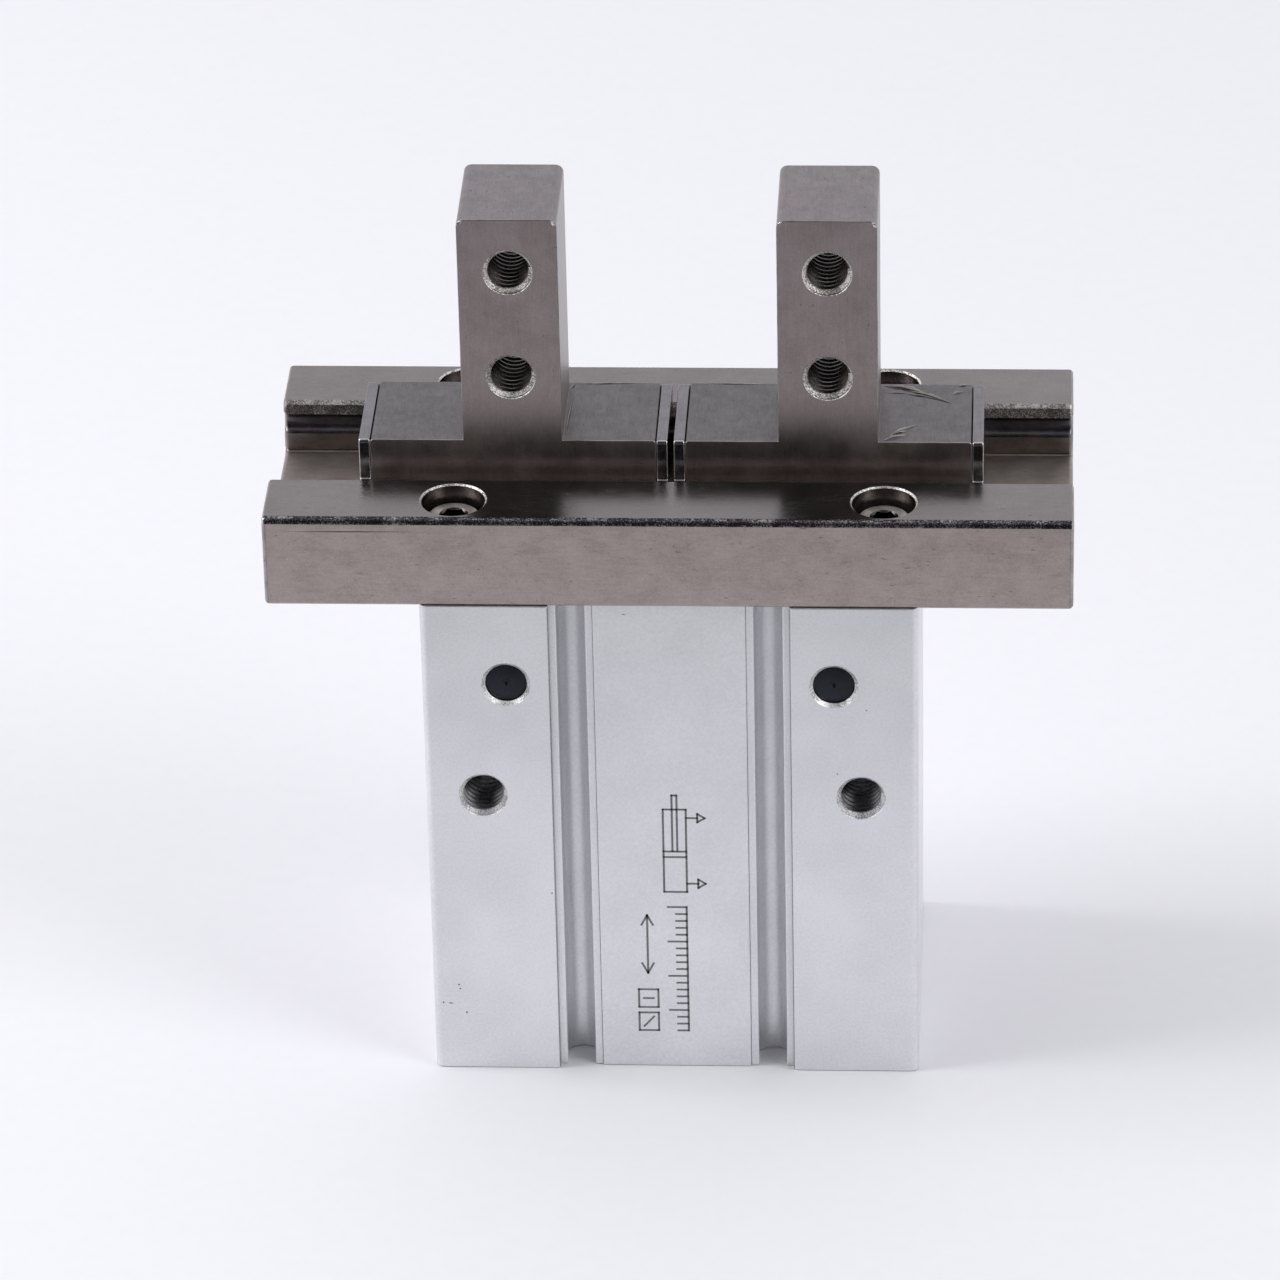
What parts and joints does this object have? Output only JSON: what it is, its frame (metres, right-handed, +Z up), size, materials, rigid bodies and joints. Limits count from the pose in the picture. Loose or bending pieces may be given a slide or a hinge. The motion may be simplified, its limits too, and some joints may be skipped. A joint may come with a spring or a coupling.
{
  "type": "pneumatic gripper",
  "caption": "Double-acting parallel gripper: a piston in an aluminium body turns bell cranks that slide the steel fingers apart along a ball-guided rail.",
  "frame": {"origin": "centre of the body's bottom face, on the bore axis", "axes": "+X along the guide rail towards the right finger, +Y to the back, +Z up along the bore"},
  "size_m": [0.097, 0.04, 0.1115],
  "materials": {
    "body_aluminium": "fine matte anodised, natural silver",
    "piston_aluminium": "turned",
    "guide_steel": "ground and heat tinted, brownish grey",
    "finger_steel": "ground and heat tinted, brownish grey",
    "stopper_steel": "fine ground",
    "screw_steel": "plain, machined",
    "shaft_steel": "blackened, ground ends",
    "hardened_steel": "hardened and ground",
    "rubber": "nitrile, matte",
    "magnet": "rubber-bonded magnet, matte"
  },
  "bodies": {
    "frame": {"body": "body_aluminium", "cap_gasket": "rubber", "end_cap": "body_aluminium", "guide_rail": "guide_steel", "lever_shaft_left": "shaft_steel", "lever_shaft_right": "shaft_steel", "lower_bumper": "rubber", "rail_screw_back_left": "screw_steel", "rail_screw_back_right": "screw_steel", "rail_screw_front_left": "screw_steel", "rail_screw_front_right": "screw_steel", "retaining_ring": "hardened_steel", "rod_seal": "rubber", "seal_holder": "hardened_steel", "upper_bumper": "rubber"},
    "piston_unit": {"piston": "piston_aluminium", "piston_seal": "rubber", "piston_magnet": "magnet", "piston_bolt": "screw_steel", "piston_rod": "hardened_steel", "rod_pin_left": "shaft_steel", "rod_pin_right": "shaft_steel", "rod_roller_left": "hardened_steel", "rod_roller_right": "hardened_steel"},
    "lever_left_unit": {"lever_left": "hardened_steel", "finger_pin_left": "shaft_steel", "finger_roller_left": "hardened_steel"},
    "lever_right_unit": {"lever_right": "hardened_steel", "finger_pin_right": "shaft_steel", "finger_roller_right": "hardened_steel"},
    "finger_left_unit": {"finger_left": "finger_steel", "stopper_inner_left": "stopper_steel", "stopper_outer_left": "stopper_steel"},
    "finger_right_unit": {"finger_right": "finger_steel", "stopper_inner_right": "stopper_steel", "stopper_outer_right": "stopper_steel"},
    "balls_left": {"ball_back_left_1": "hardened_steel", "ball_back_left_2": "hardened_steel", "ball_back_left_3": "hardened_steel", "ball_back_left_4": "hardened_steel", "ball_back_left_5": "hardened_steel", "ball_back_left_6": "hardened_steel", "ball_front_left_1": "hardened_steel", "ball_front_left_2": "hardened_steel", "ball_front_left_3": "hardened_steel", "ball_front_left_4": "hardened_steel", "ball_front_left_5": "hardened_steel", "ball_front_left_6": "hardened_steel"},
    "balls_right": {"ball_back_right_1": "hardened_steel", "ball_back_right_2": "hardened_steel", "ball_back_right_3": "hardened_steel", "ball_back_right_4": "hardened_steel", "ball_back_right_5": "hardened_steel", "ball_back_right_6": "hardened_steel", "ball_front_right_1": "hardened_steel", "ball_front_right_2": "hardened_steel", "ball_front_right_3": "hardened_steel", "ball_front_right_4": "hardened_steel", "ball_front_right_5": "hardened_steel", "ball_front_right_6": "hardened_steel"}
  },
  "joints": [
    {"name": "piston_slide", "type": "slide", "parent": "frame", "child": "piston_unit", "axis": [0, 0, 1], "range_m": [0, 0.01058]},
    {"name": "lever_left_turn", "type": "hinge", "parent": "frame", "child": "lever_left_unit", "pos_m": [-0.0198, 0, 0.0551], "axis": [0, -1, 0], "range_deg": [0, 35.6]},
    {"name": "lever_right_turn", "type": "hinge", "parent": "frame", "child": "lever_right_unit", "pos_m": [0.0198, 0, 0.0551], "axis": [0, 1, 0], "range_deg": [0, 35.6]},
    {"name": "finger_left_slide", "type": "slide", "parent": "frame", "child": "finger_left_unit", "axis": [-1, 0, 0], "range_m": [0, 0.011]},
    {"name": "finger_right_slide", "type": "slide", "parent": "frame", "child": "finger_right_unit", "axis": [1, 0, 0], "range_m": [0, 0.011]},
    {"name": "balls_left_roll", "type": "slide", "parent": "frame", "child": "balls_left", "axis": [-1, 0, 0], "range_m": [0, 0.0055]},
    {"name": "balls_right_roll", "type": "slide", "parent": "frame", "child": "balls_right", "axis": [1, 0, 0], "range_m": [0, 0.0055]}
  ],
  "couplings": [
    {"joint": "lever_left_turn", "follows": "piston_slide", "rad_per_m": 58.645},
    {"joint": "finger_left_slide", "follows": "piston_slide", "ratio": 1.0387},
    {"joint": "balls_left_roll", "follows": "piston_slide", "ratio": 0.51937},
    {"joint": "lever_right_turn", "follows": "piston_slide", "rad_per_m": 58.645},
    {"joint": "finger_right_slide", "follows": "piston_slide", "ratio": 1.0387},
    {"joint": "balls_right_roll", "follows": "piston_slide", "ratio": 0.51937}
  ]
}
